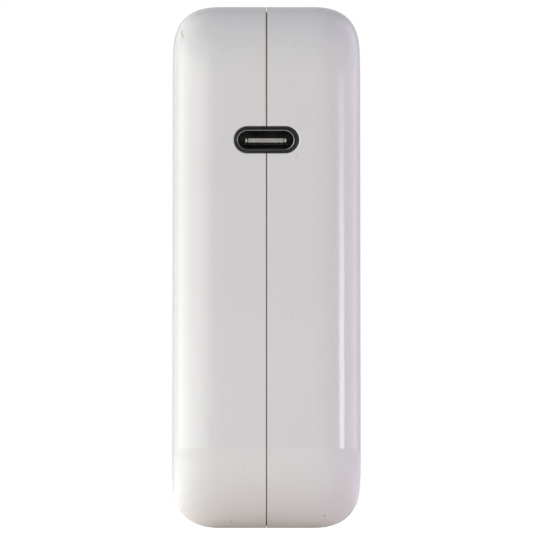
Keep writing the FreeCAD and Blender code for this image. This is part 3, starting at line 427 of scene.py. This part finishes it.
def chip(colour):
    """Moulded epoxy: sandy matt faces, polished patches where the mould let go."""
    def build(t):
        p = t.place()
        sand = t.noise(p, 9000.0, 2.0)
        cloud = t.noise(p, 800.0, 3.0)
        polished = t.ramp(t.noise(p, 420.0, 1.0), 0.60, 0.64)
        dust = t.ramp(t.noise(p, 2400.0, 3.0, 0.7), 0.62, 0.80, 0.0, 0.25)
        base = t.mix(dust, t.shade(colour, levels(t, cloud, 0.75, 1.25)), DUST)
        roughness = t.math("MULTIPLY_ADD", polished, -0.22, t.ramp(cloud, 0.3, 0.7, 0.50, 0.62))
        return {"Base Color": base, "Roughness": roughness, "Normal": t.bump(sand, 0.004 * MM)}
    return build


def dipped(colour):
    """A coat of dipped epoxy: glossy, slightly lumpy, thinner and paler at the high spots, with pinholes."""
    def build(t):
        p = t.place()
        lump = t.noise(p, 480.0, 3.0, 0.55)
        pinhole = t.ramp(t.cells(p, 1500.0), 0.05, 0.10, 1.0, 0.0)
        base = t.shade(colour, levels(t, lump, 0.78, 1.18))
        base = t.shade(base, t.math("MULTIPLY_ADD", pinhole, -0.6, 1.0))
        roughness = t.math("MULTIPLY_ADD", pinhole, 0.4, t.ramp(lump, 0.3, 0.7, 0.12, 0.26))
        height = t.math("MULTIPLY_ADD", pinhole, -1.0, lump)
        return {"Base Color": base, "Roughness": roughness, "Normal": t.bump(height, 0.02 * MM)}
    return build


def sintered(colour, rough):
    """Ferrite and painted cores: packed grains, small chipped spots, smooth ground patches."""
    def build(t):
        p = t.place()
        grains = t.cells(p, 4200.0)
        cloud = t.noise(p, 340.0, 4.0, 0.6)
        chipped = t.ramp(t.noise(p, 1100.0, 2.0, 0.7), 0.68, 0.72)
        base = t.shade(colour, t.math("MULTIPLY_ADD", grains, 0.35, levels(t, cloud, 0.72, 1.05)))
        base = t.mix(t.math("MULTIPLY", chipped, 0.5), base, (0.16, 0.15, 0.15))
        roughness = t.math("MULTIPLY_ADD", chipped, 0.2, t.ramp(cloud, 0.3, 0.7, rough - 0.08, rough + 0.08))
        height = t.math("MULTIPLY_ADD", chipped, -1.5, grains)
        return {"Base Color": base, "Roughness": roughness, "Normal": t.bump(height, 0.006 * MM)}
    return build


def wound(colour, groove_shade_colour, pitch, rough):
    """Turns of round wire side by side along X, with painted shade darkening the grooves between turns, and
    rubbed bright on top.
    """
    def build(t):
        p = t.place()
        x = t.split(p)["X"]
        across = repeat(t, t.math("MULTIPLY_ADD", t.noise(p, 260.0, 1.0), 0.25 * pitch * MM, x), pitch * MM)
        crown = t.math("SQRT", t.math("SUBTRACT", 1.0, t.math("MULTIPLY", across, across), clamp=True))
        cloud = t.noise(p, 420.0, 3.0, 0.6)
        groove = t.ramp(across, 0.72, 1.0)
        base = t.shade(colour, levels(t, cloud, 0.80, 1.12))
        # painted shade: the grooves between turns are mixed toward a darker copy of the wire's colour
        base = t.mix(t.math("MULTIPLY", groove, 0.85), base, groove_shade_colour)
        roughness = t.ramp(cloud, 0.3, 0.7, rough - 0.06, rough + 0.08)
        return {
            "Base Color": base,
            "Roughness": t.math("MULTIPLY_ADD", groove, 0.25, roughness),
            "Normal": t.bump(crown, 0.35 * pitch * MM),
        }
    return build


def taped(colour):
    """Yellow insulating tape: overlapping layers along its width, small wrinkles, and a soft sheen."""
    def build(t):
        p = t.place()
        z = t.split(p)["Z"]
        wrinkle = t.noise(t.scaled(p, (1.0, 1.0, 0.25)), 900.0, 3.0, 0.6)
        layer = repeat(t, t.math("MULTIPLY_ADD", wrinkle, 0.1 * MM, z), 1.7 * MM)
        step = t.ramp(layer, 0.90, 0.98)
        base = t.shade(colour, levels(t, wrinkle, 0.84, 1.08))
        base = t.shade(base, t.math("MULTIPLY_ADD", step, -0.18, 1.0))
        return {
            "Base Color": base,
            "Roughness": t.ramp(wrinkle, 0.3, 0.7, 0.24, 0.40),
            "Normal": t.bump(t.math("ADD", wrinkle, step), 0.03 * MM),
        }
    return build


def sleeve(colour, stripe):
    """A shrunk plastic sleeve round a capacitor: tight ripples, scuffs, and a pale stripe down one side."""
    def build(t):
        p = t.place()
        xyz = t.split(p)
        ripple = t.noise(t.scaled(p, (1.0, 1.0, 0.2)), 800.0, 3.0, 0.6)
        scuff = t.ramp(t.noise(t.scaled(p, (1.0, 0.2, 1.0)), 1600.0, 3.0, 0.7), 0.60, 0.72)
        sleeves_low, sleeves_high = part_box("capacitor_sleeves")
        middle = (sleeves_low + sleeves_high) / 2
        offset = t.math("ABSOLUTE", t.math("SUBTRACT", xyz["Y"], middle.y))
        off_stripe = t.math("ABSOLUTE", t.math("SUBTRACT", offset, STRIPE_OUT))
        band = t.ramp(off_stripe, *STRIPE_EDGE, 1.0, 0.0)
        band = t.math("MULTIPLY", band, t.math("GREATER_THAN", xyz["X"], middle.x))
        base = t.shade(t.mix(band, colour, stripe), levels(t, ripple, 0.82, 1.15))
        base = t.mix(t.math("MULTIPLY", scuff, 0.25), base, DUST)
        roughness = t.math("MULTIPLY_ADD", scuff, 0.25, t.ramp(ripple, 0.3, 0.7, 0.18, 0.30))
        return {"Base Color": base, "Roughness": roughness, "Normal": t.bump(ripple, 0.02 * MM)}
    return build


BRASS_DULL, STEEL_DULL = (0.40, 0.27, 0.13), (0.30, 0.28, 0.26)
FINISHES = {
    "white_gloss": white_gloss,
    "plug_white": plug_white,
    "plug_base_white": moulded((0.77, 0.76, 0.75), 0.42, 0.002, 0.10),
    "trim_black": moulded((0.024, 0.020, 0.021), 0.30, 0.002, 0.06),
    # the last colour is the rails' rubbed steel, partly a painted highlight
    "drawn_steel": socket_steel((0.36, 0.35, 0.34), (0.22, 0.21, 0.20), 0.15, (0.80, 0.80, 0.78)),
    "tongue_grey": moulded((0.45, 0.445, 0.43), 0.45, 0.001, 0.10),
    "gold_contact": metal((0.85, 0.66, 0.34), (0.52, 0.36, 0.16), 0.18, (1.0, 0.05, 1.0), 0.0005, 0.4),
    "black_plastic": moulded((0.035, 0.035, 0.037), 0.45, 0.002, 0.06),
    "grey_plastic": moulded((0.35, 0.35, 0.36), 0.40, 0.003, 0.15),
    "white_nylon": moulded((0.74, 0.73, 0.69), 0.50, 0.003, 0.12),
    "nickel": metal((0.72, 0.70, 0.66), (0.45, 0.41, 0.36), 0.16, (1.0, 1.0, 0.04), 0.0008, 0.4),
    "stud_steel": metal((0.63, 0.62, 0.61), STEEL_DULL, 0.28, (1.0, 1.0, 0.05), 0.002, 0.4),
    "spring_steel": metal((0.50, 0.50, 0.51), STEEL_DULL, 0.26, (1.0, 0.04, 1.0), 0.001, 0.5),
    "brass_sleeve": metal((0.78, 0.60, 0.30), BRASS_DULL, 0.24, (1.0, 0.05, 1.0), 0.001, 0.5),
    "bronze_spring": metal((0.72, 0.47, 0.28), BRASS_DULL, 0.24, (1.0, 1.0, 0.05), 0.001, 0.5),
    "board_green": board((0.030, 0.150, 0.070), (0.055, 0.250, 0.110)),
    "board_black": board((0.018, 0.022, 0.026), (0.042, 0.048, 0.054)),
    "aluminium_plate": metal((0.72, 0.73, 0.74), (0.50, 0.50, 0.50), 0.30, (1.0, 1.0, 0.02), 0.003, 0.5),
    "amber_film": film((0.62, 0.36, 0.10)),
    "grey_foam": spongy((0.22, 0.22, 0.23), 1900.0, 0.15, 0.90),
    "thermal_grey": spongy((0.45, 0.50, 0.58), 3600.0, 0.03, 0.70),
    "chip_black": chip((0.030, 0.030, 0.030)),
    "wire_insulation": moulded((0.62, 0.06, 0.05), 0.38, 0.002, 0.10),
    "fuse_brown": moulded((0.18, 0.07, 0.04), 0.30, 0.002, 0.12),
    "varistor_blue": dipped((0.05, 0.16, 0.45)),
    "thermistor_green": dipped((0.05, 0.18, 0.14)),
    "disc_blue": dipped((0.10, 0.30, 0.60)),
    "x_capacitor_yellow": moulded((0.80, 0.62, 0.12), 0.36, 0.003, 0.12),
    "film_capacitor_red": dipped((0.55, 0.10, 0.05)),
    "ferrite_dark": sintered((0.060, 0.060, 0.065), 0.45),
    "toroid_green": sintered((0.10, 0.30, 0.16), 0.32),
    # in the wound finishes, the second colour is painted shade for the grooves between turns
    "copper_wire": wound((0.72, 0.36, 0.20), (0.20, 0.07, 0.03), 0.55, 0.24),
    "former_black": moulded((0.05, 0.05, 0.05), 0.40, 0.003, 0.12),
    "winding_yellow": wound((0.82, 0.66, 0.18), (0.30, 0.20, 0.05), 0.70, 0.28),
    "tape_yellow": taped((0.85, 0.70, 0.15)),
    "can_aluminium": metal((0.78, 0.78, 0.79), (0.55, 0.55, 0.55), 0.24, (1.0, 1.0, 0.04), 0.001, 0.3),
    "sleeve_blue_black": sleeve((0.04, 0.05, 0.09), (0.45, 0.46, 0.48)),
    "bung_rubber": moulded((0.03, 0.03, 0.03), 0.60, 0.004, 0.20),
    "opto_white": moulded((0.70, 0.70, 0.68), 0.40, 0.003, 0.10),
}
METALS = ("chrome", "brushed_steel", "aluminium", "brass")

slot_of = {s["node"]: s["material_slot"] for s in record["subparts"]}
kinds = {m["slot"]: m["class"] for m in record["materials"]}
finished = {}
for slot in sorted(set(slot_of.values())):
    finished[slot] = material(slot, FINISHES[slot], Metallic=1.0 if kinds[slot] in METALS else 0.0)
for name, node in nodes.items():
    node.data.materials.clear()
    node.data.materials.append(finished[slot_of[name]])


# ---------------------------------------------------------------- stage and light
FLOOR_REACH = 3.0
FLOOR_GAP = 0.02 * MM
FLOOR_WARM = (0.72, 0.66, 0.64)  # as the brick is lit by it
FLOOR_PALE = (0.80, 0.80, 0.80)  # as the camera sees it
FLOOR_GLOW = (0.86, 0.86, 0.86)  # brings the floor to white in the picture
POOL_NEAR = (0.004, 0.110)  # how far from the brick the side pools fade out
POOL_SIDE = (0.006, 0.030)  # how far off the middle the side pools begin
CONTACT = (0.014, 0.70)  # near the brick the floor is dimmer: from how far out, and how much of it is left
POOLS = (  # side, then what the floor there adds to the brick's light
    ("all", (0.285, 0.27, 0.255)),
    ("left", (0.61, 0.68, 0.64)),
    ("right", (0.18, 0.17, 0.24)),
)
ALL_ROUND = (-400.0, 400.0, 1.0)  # past both ends of the circle, so it has no edge
PANELS = (  # colour; azimuth from, to and softness; elevation from, to and softness
    ((0.10, 0.14, 0.12), (-90.0, 90.0, 30.0), (-60.0, 34.0, 14.0)),  # ahead
    ((0.50, 0.52, 0.51), (-400.0, -90.0, 30.0), (-60.0, 34.0, 14.0)),  # behind, to the left
    ((0.50, 0.52, 0.51), (90.0, 400.0, 30.0), (-60.0, 34.0, 14.0)),  # behind, to the right
    ((1.08, 0.94, 0.98), (42.0, 132.0, 5.0), (-60.0, 10.0, 12.0)),  # right, low
    ((0.62, 0.56, 0.74), (42.0, 150.0, 10.0), (10.0, 60.0, 12.0)),  # right, higher
    ((5.40, 5.15, 5.50), (50.0, 67.0, 1.2), (-60.0, 4.6, 3.0)),  # the strip, a narrow window
    ((2.00, 1.90, 2.00), (-115.0, -16.0, 12.0), (-60.0, 8.0, 10.0)),  # left, low
    ((2.02, 2.12, 1.94), (-115.0, -16.0, 12.0), (8.0, 32.0, 10.0)),  # left, higher
    ((0.76, 0.78, 0.84), (-150.0, -16.0, 12.0), (32.0, 60.0, 10.0)),  # left, highest
    ((0.60, 0.60, 0.60), (-165.0, -115.0, 12.0), (12.0, 32.0, 10.0)),  # behind, to the left, higher
    ((0.15, 0.13, 0.16), ALL_ROUND, (36.0, 55.0, 12.0)),  # all round, high
    ((0.05, 0.05, 0.06), ALL_ROUND, (55.0, 200.0, 12.0)),  # overhead
)


def window(t, value, start, end, soft):
    """1 where the value is between start and end, with soft ends."""
    return t.math("MULTIPLY", t.ramp(value, start - soft, start + soft),
                  t.ramp(value, end - soft, end + soft, 1.0, 0.0))


def floor_pools(t):
    """What the floor adds to the brick's light: more beside the brick than far away."""
    place = t.split(t.place())
    x, y = place["X"], place["Y"]
    beside = t.math("MAXIMUM", t.math("SUBTRACT", t.math("ABSOLUTE", x), half_x), 0.0)
    before = t.math("MAXIMUM", t.math("SUBTRACT", t.math("ABSOLUTE", y), -front_y), 0.0)
    away = t.math("SQRT", t.math("MULTIPLY_ADD", beside, beside, t.math("MULTIPLY", before, before)))
    contact = t.ramp(away, 0.0, CONTACT[0], CONTACT[1], 1.0)
    near = t.math("MULTIPLY", contact, t.ramp(away, *POOL_NEAR, 1.0, 0.0))
    share = {
        "all": contact,
        "left": t.math("MULTIPLY", near, t.ramp(x, -POOL_SIDE[0], -POOL_SIDE[1])),
        "right": t.math("MULTIPLY", near, t.ramp(x, *POOL_SIDE)),
    }
    light = (0.0, 0.0, 0.0)
    for side, colour in POOLS:
        light = t.mix(share[side], light, colour, "ADD")
    return light


def make_floor():
    """A pale floor that looks white, and gives the brick a soft warm light from below."""
    mesh = bpy.data.meshes.new("floor")
    corners = [(-FLOOR_REACH, -FLOOR_REACH, 0), (FLOOR_REACH, -FLOOR_REACH, 0)]
    corners += [(FLOOR_REACH, FLOOR_REACH, 0), (-FLOOR_REACH, FLOOR_REACH, 0)]
    mesh.from_pydata(corners, [], [(0, 1, 2, 3)])
    floor = bpy.data.objects.new("floor", mesh)
    bpy.context.scene.collection.objects.link(floor)
    floor.location.z = low.z - FLOOR_GAP

    def build(t):
        seen = t.add("ShaderNodeLightPath").outputs["Is Camera Ray"]
        return {
            "Base Color": t.mix(seen, FLOOR_WARM, FLOOR_PALE),
            "Emission Color": t.mix(seen, floor_pools(t), FLOOR_GLOW),
        }

    uniform = {"Roughness": 0.9, "Specular_IOR_Level": 0.0, "Emission_Strength": 1.0}
    mesh.materials.append(material("floor", build, **uniform))


def make_world():
    """White to the camera, soft panels to the brick. Azimuth 0 is ahead of the port, 90 to the right."""
    world = bpy.data.worlds.new("studio")
    bpy.context.scene.world = world
    t = Tree(world)
    background = t.nodes["Background"]
    output = t.nodes["World Output"]
    direction = t.split(t.add("ShaderNodeTexCoord").outputs["Generated"])
    azimuth = t.math("DEGREES", t.math("ARCTAN2", direction["X"], t.math("MULTIPLY", direction["Y"], -1.0)))
    elevation = t.math("DEGREES", t.math("ARCSINE", direction["Z"]))
    light = (0.0, 0.0, 0.0)
    for colour, across, up in PANELS:
        inside = t.math("MULTIPLY", window(t, azimuth, *across), window(t, elevation, *up))
        light = t.mix(inside, light, colour, "ADD")
    t.set(background.inputs["Color"], light)
    white = t.add("ShaderNodeBackground", {"Color": (1.0, 1.0, 1.0, 1.0), "Strength": 1.0})
    seen = t.add("ShaderNodeLightPath").outputs["Is Camera Ray"]
    chosen = t.add("ShaderNodeMixShader", {0: seen, 1: background.outputs[0], 2: white.outputs[0]})
    t.links.new(chosen.outputs[0], output.inputs["Surface"])


make_floor()
make_world()
bpy.context.scene.view_settings.view_transform = "Standard"
